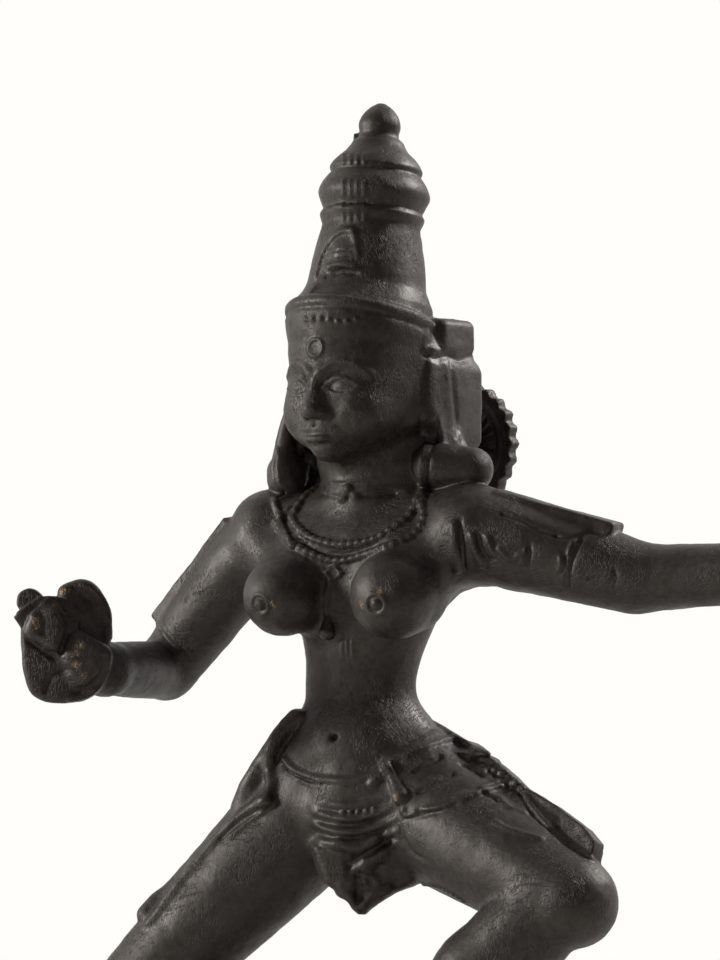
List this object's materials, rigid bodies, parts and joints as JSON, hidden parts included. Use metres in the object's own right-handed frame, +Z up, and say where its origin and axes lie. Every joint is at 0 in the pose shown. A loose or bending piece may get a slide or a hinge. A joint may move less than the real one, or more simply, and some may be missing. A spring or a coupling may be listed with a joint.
{
  "type": "parvati figure",
  "caption": "Cast bronze dancing goddess with tall crown and wheel halo, standing on one bent leg on a round lotus plinth.",
  "frame": {"origin": "centre of the plinth's underside", "axes": "+Z up, the figure's hips face -Y, +X is the figure's own left, where the long arm reaches"},
  "size_m": [0.1847, 0.0894, 0.2692],
  "materials": {
    "dark_bronze": "dark brown-black patina, satin, copper-coloured where rubbed",
    "plinth_bronze": "dark brown-black patina, satin"
  },
  "bodies": {
    "root": {"figure": "dark_bronze", "lotus_plinth": "plinth_bronze"}
  },
  "joints": []
}
